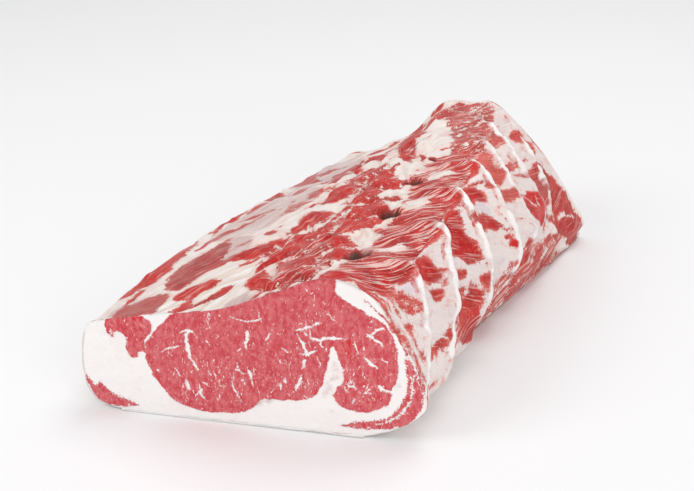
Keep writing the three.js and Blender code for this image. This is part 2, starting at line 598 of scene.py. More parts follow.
UPPER_PATCHES = (
    Patch("edge band, near", ((-207, 58), (-202, 112), (-194, 140), (-184, 130), (-185, 100),
                              (-183, 70), (-186, 42), (-193, 34), (-202, 40)), tone=0.55, fray=4, cap=3),
    Patch("edge band, middle", ((-194, 165), (-191, 196), (-177, 206), (-171, 188), (-180, 162)),
          fray=3),
    Patch("edge band, far", ((-152, 248), (-160, 262), (-167, 300), (-161, 326), (-153, 318),
                             (-150, 290), (-136, 264), (-127, 250), (-138, 244)), tone=0.45, fray=3),
    Patch("dull edge muscle", ((-150, 38), (-143, 62), (-145, 100), (-152, 115), (-160, 118),
                               (-168, 102), (-177, 84), (-174, 58), (-165, 40)),
          tone=0.15, fray=3.5, cap=4, bulge=2),
    Patch("front corner muscle", ((-184, 0), (-187, 16), (-176, 28), (-160, 36), (-153, 30),
                                  (-157, 12), (-153, 0)), tone=0.2, fray=2.5, cap=4, bulge=1.5),
    Patch("small bright strip", ((-153, 23), (-148, 38), (-134, 50), (-124, 46), (-128, 34),
                                 (-142, 22)), tone=0.75, fray=2.0, bulge=1.5),
    Patch("long bright strip", ((-140, 74), (-136, 90), (-122, 104), (-110, 114), (-103, 112),
                                (-104, 98), (-112, 84), (-124, 76)), tone=0.7, fray=2.2, bulge=2.5),
    Patch("red fleck", ((-128, 117), (-126, 128), (-120, 124), (-121, 114)), tone=0.6, fray=1.5),
    Patch("dark ragged muscle", ((-111, 54), (-109, 70), (-100, 82), (-88, 84), (-87, 74),
                                 (-97, 62), (-102, 48)), tone=0.45, fray=3.5, bulge=3),
    Patch("lower muscle tip", ((-105, 36), (-98, 50), (-91, 46), (-86, 32), (-76, 24), (-80, 14),
                               (-92, 16), (-102, 26)), tone=0.55, fray=3, bulge=2),
    Patch("middle bundle", ((-88, 48), (-92, 70), (-80, 86), (-62, 84), (-50, 66), (-42, 40),
                            (-44, 20), (-54, 6), (-70, 8), (-80, 22)), fray=5, cap=3.2,
          bulge=4, sinew=0.8),
    Patch("middle bundle's crest", ((-80, 84), (-71, 97), (-54, 91), (-43, 74), (-48, 62),
                                    (-62, 76)), tone=0.4, fray=2.5, bulge=4),
    Patch("curl behind the crest", ((-72, 100), (-76, 120), (-62, 136), (-48, 130), (-50, 116),
                                    (-58, 104)), fray=4, cap=3, bulge=3),
    Patch("red behind the strip", ((-101, 96), (-102, 112), (-92, 120), (-82, 116), (-80, 100),
                                   (-88, 88)), tone=0.55, fray=3, bulge=2),
    Patch("dark muscle", ((-112, 118), (-110, 140), (-100, 154), (-90, 158), (-87, 146),
                          (-96, 134), (-99, 120)), tone=0.4, fray=2.5, bulge=2.5),
    Patch("round red muscle", ((-104, 176), (-102, 198), (-91, 208), (-79, 200), (-76, 178),
                               (-86, 163), (-97, 164)), tone=0.55, fray=3, bulge=3),
    Patch("long strands", ((-84, 100), (-85, 150), (-76, 170), (-72, 200), (-66, 240), (-54, 238),
                           (-48, 200), (-48, 150), (-62, 130), (-72, 110)), fray=6, cap=2.6,
          bulge=2),
    Patch("far strands", ((-98, 214), (-94, 250), (-84, 268), (-66, 244), (-64, 214), (-80, 204)),
          fray=6, cap=2.2),
    Patch("dark back band", ((-94, 372), (-76, 374), (-63, 330), (-58, 300), (-46, 252),
                             (-54, 244), (-64, 264), (-77, 300), (-84, 330)), tone=0.3, fray=2.5,
          cap=5),
    Patch("back red, left", ((-106, 300), (-96, 318), (-84, 300), (-82, 284), (-94, 284)),
          tone=0.45, fray=3),
    Patch("thin far red", ((-107, 290), (-100, 296), (-98, 262), (-103, 250)), tone=0.6, fray=2),
    Patch("far left streaks", ((-174, 228), (-170, 262), (-160, 240), (-150, 222), (-158, 216)),
          tone=0.4, fray=3, cap=2),
    Patch("front fold", ((-46, 0), (-44, 14), (-34, 20), (-22, 14), (-20, 0)), tone=0.4, fray=3,
          bulge=1.5),
    Patch("strands over the ribs", ((-38, 14), (-36, 60), (-38, 110), (-36, 170), (-38, 230),
                                    (-30, 262), (-6, 284), (8, 282), (5, 264), (2, 244), (11, 234),
                                    (8, 218), (4, 200), (2, 180), (12, 170), (8, 152), (4, 130),
                                    (2, 112), (11, 102), (8, 86), (4, 70), (2, 54), (10, 46),
                                    (6, 30), (-6, 8), (-24, 6)), tone=0.55, fray=2.6, cap=3.0,
          sinew=0.9, soft=1),
    Patch("far strands over the ribs", ((-26, 262), (-20, 276), (-34, 294), (-22, 310), (-38, 330),
                                        (-44, 352), (-34, 370), (0, 370), (6, 340), (2, 300),
                                        (8, 286), (-10, 258)),
          tone=0.3, fray=4.5, cap=1.2, sinew=0.6),
    Patch("by the first pit", ((-60, 40), (-58, 62), (-48, 70), (-40, 60), (-44, 40), (-50, 24)),
          tone=0.45, fray=3),
    Patch("fat by pit one", ((-33, 60), (-30, 71), (-22, 81), (-13, 85), (-17, 74), (-27, 62)),
          tissue=Tissue.FAT),
    Patch("fat by pit two", ((-38, 146), (-34, 159), (-26, 167), (-18, 168), (-24, 154), (-32, 145)),
          tissue=Tissue.FAT),
    Patch("fat by pit three", ((-32, 205), (-30, 217), (-20, 226), (-9, 223), (-17, 210), (-26, 203)),
          tissue=Tissue.FAT),
    Patch("fat over pit three", ((-59, 222), (-56, 245), (-46, 254), (-38, 242), (-38, 222),
                                 (-46, 211)), tissue=Tissue.FAT),
    Patch("fat behind pit two", ((-59, 168), (-54, 187), (-44, 193), (-39, 182), (-48, 167)),
          tissue=Tissue.FAT),
    Patch("white swirl", ((-66, 94), (-60, 105), (-50, 112), (-42, 106), (-37, 92), (-39, 80),
                          (-47, 86), (-55, 92)), tissue=Tissue.FAT),
    Patch("white sheet of the middle", ((-108, 150), (-100, 163), (-86, 164), (-72, 160), (-78, 154),
                                        (-94, 150)), tissue=Tissue.FAT),
    Patch("white between the folds", ((-54, 4), (-50, 20), (-43, 34), (-35, 44), (-32, 37), (-40, 22),
                                      (-47, 4)), tissue=Tissue.FAT),
    Patch("fat lumps at the back", ((-54, 262), (-46, 300), (-44, 320), (-36, 326), (-25, 314),
                                    (-33, 302), (-20, 290), (-32, 278), (-28, 264)),
          tissue=Tissue.FAT, soft=1),
    Patch("grey skin, far top", ((-30, 284), (-40, 372), (26, 372), (14, 300), (-8, 284)),
          tissue=Tissue.VEIL, tone=0.45),
    Patch("cream fat", ((-156, 0), (-154, 24), (-140, 52), (-134, 72), (-112, 76), (-106, 50),
                        (-104, 20), (-108, 0)), tissue=Tissue.CREAM, tone=1.0),
    Patch("grey skin, front", ((-110, 0), (-112, 12), (-100, 18), (-88, 12), (-76, 0)),
          tissue=Tissue.VEIL, tone=1.0),
    Patch("grey skin, corner", ((-196, 14), (-176, 34), (-156, 36), (-154, 4), (-182, 0)),
          tissue=Tissue.VEIL, tone=0.7),
    Patch("grey skin by the dull muscle", ((-146, 94), (-140, 70), (-130, 98), (-134, 118),
                                           (-150, 126), (-154, 112)), tissue=Tissue.VEIL, tone=1.0),
    Patch("grey skin, edge", ((-182, 130), (-170, 200), (-150, 240), (-120, 232), (-112, 180),
                              (-128, 140), (-150, 122), (-170, 118)), tissue=Tissue.VEIL, tone=0.8),
    Patch("grey skin, far edge", ((-164, 240), (-150, 330), (-110, 330), (-104, 250), (-120, 230)),
          tissue=Tissue.VEIL, tone=0.9),
)  # fmt: skip

RIB_PATCHES = (
    Patch("fold along the near rim", ((-18, 0), (-16, 9), (0, 10), (20, 8), (40, 7), (60, 6), (78, 7),
                                      (92, 5), (92, 0)), tone=0.55, fray=1.8, cap=1.6),
    Patch("first bed, blush", ((-6, 13), (-2, 24), (4, 28), (12, 29), (20, 33), (30, 35), (30, 27),
                               (22, 19), (12, 14), (2, 11)), tone=0.6, fray=3.2, cap=1.4),
    Patch("first bed, dark", ((-2, 33), (2, 42), (8, 45), (12, 42), (9, 34), (3, 30)), tone=0.45),
    Patch("first bed, spot", ((23, 12), (28, 19), (34, 19), (30, 11)), tone=0.7, fray=2),
    Patch("second bed, window", ((4, 65), (8, 73), (13, 82), (24, 84), (30, 84), (32, 78), (29, 71),
                                 (24, 62), (19, 60), (12, 60))),
    Patch("second bed, ring", ((29, 60), (31, 68), (35, 76), (41, 73), (43, 66), (38, 59)),
          tone=0.6, fray=2, cap=3),
    Patch("second bed, spot", ((31, 77), (34, 82), (37, 79), (34, 75)), tone=0.2),
    Patch("second bed, low", ((60, 62), (66, 76), (74, 82), (81, 80), (79, 68), (73, 60), (71, 45),
                              (67, 30), (62, 12), (59, 14), (63, 38), (64, 52)), fray=3.0,
          cap=2, sinew=0.5),
    Patch("third bed, window", ((0, 146), (4, 155), (13, 161), (20, 155), (26, 147), (34, 149),
                                (42, 147), (49, 140), (46, 130), (38, 121), (30, 114), (24, 110),
                                (18, 116), (12, 132), (5, 138)), tone=0.62, fray=3, bulge=1,
          sinew=0.5),
    Patch("third bed, tongue", ((36, 102), (38, 110), (44, 120), (50, 121), (51, 113), (46, 104),
                                (43, 95), (38, 96))),
    Patch("third bed, low", ((50, 98), (57, 117), (63, 128), (69, 128), (77, 121), (84, 122),
                             (94, 122), (101, 112), (99, 97), (90, 90), (82, 90), (76, 97), (72, 93),
                             (62, 88), (54, 90)), tone=0.4, fray=3.2, cap=3, sinew=0.6),
    Patch("fourth bed, window", ((2, 190), (7, 208), (13, 218), (22, 218), (31, 217), (27, 207),
                                 (22, 198), (17, 189), (12, 183), (5, 184))),
    Patch("fourth bed, muscle", ((20, 164), (24, 182), (32, 200), (41, 206), (50, 205), (49, 195),
                                 (44, 186), (40, 175), (33, 163), (25, 157)), tone=0.6, fray=2.4),
    Patch("fourth bed, low", ((55, 132), (60, 143), (66, 143), (74, 141), (79, 137), (74, 131),
                              (66, 129), (58, 127)), tone=0.3, fray=2),
    Patch("fifth bed, window", ((1, 258), (2, 275), (9, 283), (16, 281), (18, 275), (23, 276),
                                (31, 277), (35, 268), (28, 257), (18, 251), (9, 252)), tone=0.3, cap=1.4),
    Patch("fifth bed, muscle", ((18, 228), (24, 243), (31, 256), (38, 265), (46, 270), (52, 263),
                                (46, 251), (39, 239), (31, 228), (22, 220)), tone=0.3, cap=1.6),
    Patch("fifth bed, streak", ((50, 222), (53, 232), (60, 238), (62, 233), (56, 224))),
    Patch("sixth bed, pale lean", ((22, 290), (27, 302), (37, 317), (41, 313), (37, 299), (29, 286)),
          tone=0.2, fray=2.5, cap=2),
    Patch("sixth bed, streak", ((40, 300), (46, 308), (53, 318), (55, 314), (49, 304), (43, 297)),
          tone=0.28, fray=1.8, cap=1.5),
    Patch("far shoulder", ((2, 296), (4, 320), (12, 340), (24, 350), (24, 336), (18, 318), (10, 300)),
          tone=0.25, fray=3, cap=2, sinew=0.6),
    Patch("far edge strip", ((20, 360), (30, 368), (48, 372), (52, 366), (40, 358), (26, 352)),
          tone=0.35, fray=2, cap=2),
    Patch("bright ring", ((51, 268), (54, 284), (60, 298), (69, 305), (80, 307), (88, 300), (86, 286),
                          (78, 272), (68, 262), (58, 260)), tone=1.0, fray=1.8, cap=4),
    Patch("small bright", ((61, 198), (66, 211), (72, 221), (77, 217), (74, 203), (67, 194)),
          tone=1.0, fray=2.2),
    Patch("spots by the small bright", ((56, 198), (58, 206), (62, 206), (60, 197)), tone=0.9),
    Patch("lower band", ((80, 242), (84, 226), (86, 210), (84, 190), (82, 176), (84, 160), (85, 148),
                         (92, 146), (98, 136), (101, 124), (112, 118), (130, 126), (148, 200),
                         (152, 300), (148, 346), (112, 328), (104, 300), (99, 284), (96, 264),
                         (88, 250)), tone=0.36, fray=3.6, cap=1.5, sinew=0.7),
    Patch("bright core of the band", ((86, 214), (86, 236), (92, 247), (99, 241), (101, 224),
                                      (95, 211)), tone=0.7, fray=2, bulge=1.5, sinew=0.2),
    Patch("far end, lower", ((52, 344), (60, 324), (70, 316), (80, 314), (90, 314), (100, 320),
                             (112, 326), (148, 336), (150, 366), (100, 370), (70, 369), (56, 362)),
          tone=0.25, fray=2.6, cap=3, sinew=0.4),
    Patch("white wedge of the band", ((86, 190), (88, 204), (92, 206), (91, 192)), tissue=Tissue.FAT),
    Patch("white corner of the band", ((96, 122), (98, 138), (112, 150), (132, 150), (132, 118)),
          tissue=Tissue.FAT),
    Patch("pale patch of the band", ((112, 262), (110, 286), (120, 296), (122, 270)),
          tissue=Tissue.FAT),
    Patch("pale patch at the table", ((124, 168), (120, 190), (130, 206), (136, 182)),
          tissue=Tissue.FAT),
    Patch("pale patch at the table, far", ((128, 316), (124, 332), (138, 344), (140, 322)),
          tissue=Tissue.FAT),
    Patch("pale patch by the core", ((100, 176), (102, 196), (108, 200), (108, 180)),
          tissue=Tissue.FAT),
    Patch("white strip of the far end", ((84, 322), (92, 336), (100, 338), (97, 326), (90, 318)),
          tissue=Tissue.FAT),
    Patch("grey skin of the band", ((84, 142), (84, 250), (100, 310), (148, 340), (150, 118),
                                    (106, 118)), tissue=Tissue.VEIL, tone=0.25),
    Patch("grey skin, far end", ((60, 322), (64, 350), (84, 362), (84, 340), (76, 320)),
          tissue=Tissue.VEIL, tone=0.7),
    Patch("clear skin, first bed", ((4, 28), (8, 42), (18, 46), (22, 38), (13, 26)),
          tissue=Tissue.CLEAR, tone=1.2),
    Patch("clear skin by the spot", ((27, 22), (32, 34), (44, 36), (42, 22)), tissue=Tissue.CLEAR),
    Patch("clear skin, second bed", ((2, 58), (5, 66), (13, 66), (14, 58)), tissue=Tissue.CLEAR,
          tone=1.2),
    Patch("clear skin over the window", ((2, 80), (6, 92), (14, 92), (14, 84)), tissue=Tissue.CLEAR),
    Patch("clear skin, second bed, low", ((44, 58), (48, 78), (58, 78), (58, 62)),
          tissue=Tissue.CLEAR),
    Patch("clear skin, third bed", ((0, 120), (0, 134), (8, 134), (12, 122)), tissue=Tissue.CLEAR,
          tone=1.2),
    Patch("clear skin, fourth bed", ((22, 196), (26, 208), (36, 210), (36, 198)),
          tissue=Tissue.CLEAR, tone=1.2),
    Patch("clear skin, fourth bed, low", ((62, 150), (62, 182), (78, 186), (78, 160)),
          tissue=Tissue.CLEAR),
    Patch("clear skin, fifth bed", ((42, 222), (46, 248), (58, 244), (56, 222)),
          tissue=Tissue.CLEAR),
    Patch("clear skin of the band", ((66, 224), (72, 256), (88, 262), (80, 230)),
          tissue=Tissue.CLEAR),
)  # fmt: skip

RIB_STROKES = (
    Stroke(((-6, 6), (10, 5), (26, 5), (44, 4)), 1.8, taper=0.4, wiggle=0.4),
    Stroke(((16, 8), (34, 8), (54, 9), (70, 12)), 1.6, taper=0.4, wiggle=0.4),
    Stroke(((36, 2), (54, 3), (76, 3)), 1.6, taper=0.4, wiggle=0.4),
    Stroke(((14, 13), (34, 12), (56, 13)), 2.6, Tissue.LEAN, 0.5, 0.4),
    Stroke(((54, 274), (62, 280), (70, 286)), 3.0),
    Stroke(((64, 292), (68, 288), (73, 290)), 2.4),
    Stroke(((60, 104), (62, 112), (58, 118)), 2.4),
    Stroke(((88, 176), (94, 190), (98, 208)), 3.0),
    Stroke(((92, 262), (98, 276), (104, 290)), 3.4),
    Stroke(((102, 340), (106, 350), (112, 360)), 3.0),
)


@dataclass(frozen=True)
class Chart:
    """The way the fibres run over a strip of the outside, from one place round it to the next."""

    start: float
    angle: float


CHARTS = (
    Chart(-400, 90),
    Chart(-176, 58),
    Chart(-44, 40),
    Chart(9, 60),
    Chart(76, 104),
)


# ---------------------------------------------------------------- finishes

Socket = bpy.types.NodeSocket
Value = Socket | float | tuple
NOISE_SPREAD = 5.0  # widens the shader's noise to about -1 to 1
BLOTCHES = ((0.9, 0.6), (0.22, 0.6), (0.06, 0.55))  # cells per millimetre and roughness, three sizes
FIBRES = (((0.26, 0.022, 1.0), 3.0, 0.6), ((0.62, 0.034, 1.0), 2.0, 0.5))  # cells, detail, roughness


class Tree:
    """Shorthand for building a material's nodes."""

    def __init__(self, name: str) -> None:
        """Makes an empty material.

        Args:
            name: the material's name.
        """
        self.material = bpy.data.materials.new(name)
        self.material.use_nodes = True
        self.nodes = self.material.node_tree.nodes
        self.links = self.material.node_tree.links
        self.shader = next(n for n in self.nodes if n.type == "BSDF_PRINCIPLED")

    def _feed(self, socket: Socket, value: Value) -> None:
        """Links a socket to an output, or sets its value.

        Args:
            socket: the input.
            value: an output, or the value to set.
        """
        if hasattr(value, "is_output"):
            self.links.new(value, socket)
        else:
            socket.default_value = value

    def attribute(self, name: str, vector: bool = False) -> Socket:
        """A vertex field.

        Args:
            name: the field's name.
            vector: True for a field of vectors.

        Returns:
            Its value.
        """
        node = self.nodes.new("ShaderNodeAttribute")
        node.attribute_name = name
        return node.outputs["Vector" if vector else "Fac"]

    def place(self) -> Socket:
        """The place on the object, in millimetres."""
        node = self.nodes.new("ShaderNodeTexCoord")
        return self.scale(node.outputs["Object"], (1 / MM,) * 3)

    def scale(self, vector: Socket, by: tuple) -> Socket:
        """A vector times another, part by part.

        Args:
            vector: the vector.
            by: its three factors.

        Returns:
            The product.
        """
        node = self.nodes.new("ShaderNodeVectorMath")
        node.operation = "MULTIPLY"
        self._feed(node.inputs[0], vector)
        node.inputs[1].default_value = by
        return node.outputs[0]

    def math(self, operation: str, *numbers: Value) -> Socket:
        """One sum.

        Args:
            operation: its name.
            numbers: what it takes, one to three of them.

        Returns:
            The result.
        """
        node = self.nodes.new("ShaderNodeMath")
        node.operation = operation
        for socket, value in zip(node.inputs, numbers):
            self._feed(socket, value)
        return node.outputs[0]

    def times(self, a: Value, b: Value) -> Socket:
        """a times b."""
        return self.math("MULTIPLY", a, b)

    def times_plus(self, a: Value, b: Value, c: Value) -> Socket:
        """a times b, plus c."""
        return self.math("MULTIPLY_ADD", a, b, c)

    def noise(self, vector: Socket, scale: float, detail: float, rough: float, warp: float = 0.0) -> Socket:
        """Noise from about 0 to 1.

        Args:
            vector: where.
            scale: cells per unit of the vector.
            detail: how many finer layers it has.
            rough: how strong they are.
            warp: how far it is bent out of shape.

        Returns:
            The noise.
        """
        node = self.nodes.new("ShaderNodeTexNoise")
        self._feed(node.inputs["Vector"], vector)
        settings = {"Scale": scale, "Detail": detail, "Roughness": rough, "Distortion": warp}
        for name, value in settings.items():
            node.inputs[name].default_value = value
        return node.outputs[0]

    def spread(self, noise: Socket) -> Socket:
        """Noise widened to about -1 to 1."""
        return self.times_plus(noise, NOISE_SPREAD, -NOISE_SPREAD / 2)

    def step(self, value: Value, low: float, high: float) -> Socket:
        """A smooth step.

        Args:
            value: the number.
            low: where the step starts from 0.
            high: where it reaches 1.

        Returns:
            0 to 1.
        """
        node = self.nodes.new("ShaderNodeMapRange")
        node.interpolation_type = "SMOOTHSTEP"
        self._feed(node.inputs["Value"], value)
        node.inputs["From Min"].default_value = low
        node.inputs["From Max"].default_value = high
        return node.outputs[0]

    def mix(self, share: Value, a: Value, b: Value) -> Socket:
        """Two colours, mixed.

        Args:
            share: how much of b there is, 0 to 1.
            a: a colour.
            b: another.

        Returns:
            The colour.
        """
        node = self.nodes.new("ShaderNodeMix")
        node.data_type = "RGBA"
        self._feed(node.inputs[0], share)
        for socket, value in ((node.inputs[6], a), (node.inputs[7], b)):
            self._feed(socket, value)
        return node.outputs[2]

    def bump(self, height: Socket, strength: float) -> Socket:
        """Bumps on the surface.

        Args:
            height: in millimetres.
            strength: how much of it shows, 0 to 1.

        Returns:
            The normal.
        """
        node = self.nodes.new("ShaderNodeBump")
        node.inputs["Strength"].default_value = strength
        node.inputs["Distance"].default_value = MM
        self._feed(node.inputs["Height"], height)
        return node.outputs[0]


def colour(red: int, green: int, blue: int) -> tuple:
    """A colour as the shader takes it.

    Args:
        red: 0 to 255, as seen on a screen.
        green: the same.
        blue: the same.

    Returns:
        Linear red, green, blue and 1.
    """
    parts = [v / 255 for v in (red, green, blue)]
    return tuple(v / 12.92 if v <= 0.04045 else ((v + 0.055) / 1.055) ** 2.4 for v in parts) + (1.0,)


@dataclass(frozen=True)
class Palette:
    """The colours of the meat."""

    fat: tuple = colour(248, 244, 242)
    rind: tuple = colour(240, 230, 224)
    fat_pink: tuple = colour(230, 190, 180)
    cream: tuple = colour(228, 208, 194)
    eye: tuple = colour(202, 66, 76)
    eye_light: tuple = colour(216, 108, 114)
    lean: tuple = colour(198, 25, 22)
    lean_dark: tuple = colour(140, 15, 14)
    vivid: tuple = colour(208, 28, 22)
    dull: tuple = colour(172, 84, 82)
    veil: tuple = colour(204, 172, 169)
    clear: tuple = colour(222, 210, 214)
    membrane: tuple = colour(233, 221, 218)
    flush: tuple = colour(232, 178, 170)
    veil_lean: tuple = colour(188, 114, 110)
    film: tuple = colour(216, 110, 100)
    fleck: tuple = colour(240, 212, 203)
    # painted shade: the dark brown that fills the pits' hollows
    pit: tuple = colour(86, 58, 48)


@dataclass(frozen=True)
class Patterns:
    """The noises that break a finish up: three sizes of blotch, broad streaks and thin strands."""

    crumb: Socket
    soft: Socket
    wide: Socket
    streak: Socket
    strand: Socket


@dataclass(frozen=True)
class MeatFinish(ABC):
    """Lean, fat and skin, told apart by the vertex fields. Each kind of surface adds its own."""

    name: str = "meat"
    border: tuple = (-0.35, 0.45)
    c: Palette = Palette()
    roughness: float = 0.4
    specular: float = 0.2
    coat: float = 0.14
    coat_roughness: float = 0.1
    scatter: float = 0.1
    scatter_depth: float = 0.003
    scatter_reach: tuple = (1.0, 0.35, 0.25)
    bump: float = 0.8

    def build(self) -> bpy.types.Material:
        """Makes the material.

        Returns:
            The material.
        """
        t, c = Tree(self.name), self.c
        place = t.place()
        blotches = [t.noise(place, scale, 3.0, rough) for scale, rough in BLOTCHES]
        n = Patterns(*blotches, *self.fibres(t, blotches))
        edge = t.times_plus(self.ragged(t, n), t.attribute("fray"), t.attribute("lean"))
        veiled = t.step(t.times_plus(t.spread(n.streak), 0.35, t.attribute("veil")), 0.1, 1.1)
        red = self.red(t, n, edge, place)
        red = t.mix(t.times(veiled, 0.7), red, c.veil_lean)
        pale = self.pale(t, n, edge, place)
        pale = t.mix(t.attribute("cream"), pale, t.mix(t.step(n.streak, 0.34, 0.66), c.cream, c.fat))
        pale = t.mix(t.times(veiled, 0.8), pale, c.veil)
        is_lean, pale, height = self.lay(t, n, edge, pale)
        # painted shade: the dark field darkens the pits' hollows towards the pit colour
        skin = t.mix(t.attribute("dark"), t.mix(is_lean, pale, red), c.pit)
        t.links.new(skin, t.shader.inputs["Base Color"])
        t.links.new(t.bump(t.times_plus(is_lean, -0.3, height), self.bump), t.shader.inputs["Normal"])
        for socket, value in (
            ("Roughness", self.roughness),
            ("Specular IOR Level", self.specular),
            ("Coat Weight", self.coat),
            ("Coat Roughness", self.coat_roughness),
            ("Subsurface Weight", self.scatter),
            ("Subsurface Scale", self.scatter_depth),
            ("Subsurface Radius", self.scatter_reach),
        ):
            t.shader.inputs[socket].default_value = value
        return t.material

    @abstractmethod
    def fibres(self, t: Tree, blotches: list) -> tuple:
        """The broad streaks and the thin strands, from the nodes and the three sizes of blotch."""

    @abstractmethod
    def ragged(self, t: Tree, n: Patterns) -> Socket:
        """How the borders of the lean wander, from the nodes and the noises."""

    @abstractmethod
    def red(self, t: Tree, n: Patterns, edge: Socket, place: Socket) -> Socket:
        """The colour of the lean, from the nodes, the noises, the distance inside it and the place."""

    @abstractmethod
    def pale(self, t: Tree, n: Patterns, edge: Socket, place: Socket) -> Socket:
        """The colour of the fat, from the same as the lean's."""

    @abstractmethod
    def lay(self, t: Tree, n: Patterns, edge: Socket, pale: Socket) -> tuple:
        """The share of lean, the colour of the fat and the height of the surface."""

    def toned(self, t: Tree, lean: tuple) -> Socket:
        """Lean from dull to vivid, as the tone field says.

        Args:
            t: the nodes.
            lean: the colour in the middle.

        Returns:
            The colour.
        """
        tone = t.attribute("tone")
        red = t.mix(t.step(tone, 0.0, 0.45), self.c.dull, lean)
        red = t.mix(t.step(tone, 0.6, 1.0), red, self.c.vivid)
        return t.mix(t.step(t.attribute("blush"), 0.1, 1.0), red, self.c.vivid)


@dataclass(frozen=True)
class CutFinish(MeatFinish):
    """The cut faces: smooth lean with flecks of fat, and plain fat."""

    name: str = "meat_cut"

    def fibres(self, t: Tree, blotches: list) -> tuple:
        """The cut shows no fibres, so soft blotches stand in for them."""
        return (blotches[1],) * 2

    def ragged(self, t: Tree, n: Patterns) -> Socket:
        """How the borders of the lean wander."""
        return t.times(t.spread(n.crumb), 0.8)

    def red(self, t: Tree, n: Patterns, edge: Socket, place: Socket) -> Socket:
        """Lean with flecks of fat, which gather where the sinew field says.

        Args:
            t: the nodes.
            n: the noises, which are not used.
            edge: the distance inside the lean, which is not used.
            place: the place on the object.

        Returns:
            The colour.
        """
        c = self.c
        mottle = t.noise(t.scale(place, (1.0, 1.0, 0.55)), 0.35, 4.0, 0.62)
        red = t.mix(t.step(mottle, 0.36, 0.64), self.toned(t, c.eye), c.eye_light)
        gather = t.times_plus(t.spread(t.noise(place, 0.09, 2.0, 0.5)), 0.3, t.attribute("sinew"))
        fine = t.noise(t.scale(place, (1.0, 1.0, 0.6)), 0.85, 3.0, 0.62, 0.8)
        fine = t.step(t.times_plus(gather, 0.06, fine), 0.6, 0.72)
        big = t.noise(t.scale(place, (1.0, 1.0, 0.42)), 0.36, 3.0, 0.55, 1.6)
        big = t.step(t.times_plus(gather, 0.09, big), 0.68, 0.73)
        red = t.mix(t.times(fine, 0.6), red, c.fleck)
        return t.mix(t.times(big, 0.9), red, c.fat)

    def pale(self, t: Tree, n: Patterns, edge: Socket, place: Socket) -> Socket:
        """Plain fat, faintly blotched.

        Args:
            t: the nodes.
            n: the noises, which are not used.
            edge: the distance inside the lean, which is not used.
            place: the place on the object.

        Returns:
            The colour.
        """
        blotch = t.step(t.noise(place, 0.05, 4.0, 0.6), 0.46, 0.68)
        return t.mix(t.times(blotch, 0.12), self.c.fat, self.c.fat_pink)

    def lay(self, t: Tree, n: Patterns, edge: Socket, pale: Socket) -> tuple:
        """Tells lean from fat.

        Args:
            t: the nodes.
            n: the noises.
            edge: the distance inside the lean.
            pale: the colour of the fat.

        Returns:
            The share of lean, the colour of the fat and the height of the surface.
        """
        return t.step(edge, *self.border), pale, t.times_plus(n.crumb, 0.5, t.times(n.soft, 0.6))


